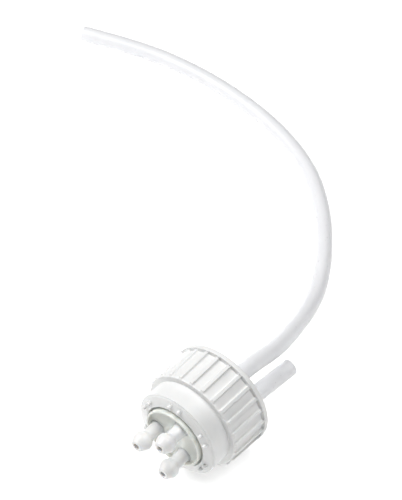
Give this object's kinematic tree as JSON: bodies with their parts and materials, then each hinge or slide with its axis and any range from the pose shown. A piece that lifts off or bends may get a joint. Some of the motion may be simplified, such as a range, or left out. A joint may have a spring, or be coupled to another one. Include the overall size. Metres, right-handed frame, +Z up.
{
  "type": "three-port bottle closure with hoses",
  "caption": "Ribbed wide-mouth screw closure with a turning insert, hose barbs on its face, and a long and a short translucent tube behind.",
  "frame": {"origin": "on the surface the closure lies on, under the middle of the closure and its short tube", "axes": "+Z up; +Y along the closure's level axis, from its face with the barbs towards the bottle side; +X to the right seen from the face"},
  "size_m": [0.308, 0.269, 0.061],
  "materials": {
    "closure_plastic": "satin moulded polypropylene, white",
    "insert_plastic": "natural polypropylene, slightly translucent",
    "barb_plastic": "natural polypropylene, slightly translucent",
    "gasket_rubber": "matt white silicone",
    "o_ring_rubber": "matt translucent silicone",
    "tube_plastic": "milky translucent tubing"
  },
  "bodies": {
    "port_insert_body": {"port_insert": "insert_plastic", "lip_gasket": "gasket_rubber", "hose_barb_1": "barb_plastic", "hose_barb_2": "barb_plastic", "hose_barb_3": "barb_plastic", "port_o_ring_1": "o_ring_rubber", "port_o_ring_2": "o_ring_rubber", "port_o_ring_3": "o_ring_rubber", "tube_barb_1": "barb_plastic", "tube_barb_2": "barb_plastic", "tube_barb_3": "barb_plastic", "short_tube": "tube_plastic", "long_tube": "tube_plastic"},
    "screw_closure": {"closure_shell": "closure_plastic"}
  },
  "joints": [
    {"name": "closure_turn", "type": "hinge", "parent": "port_insert_body", "child": "screw_closure", "pos_m": [0, -0.0312, 0.0305], "axis": [0, -1, 0], "continuous": true}
  ]
}
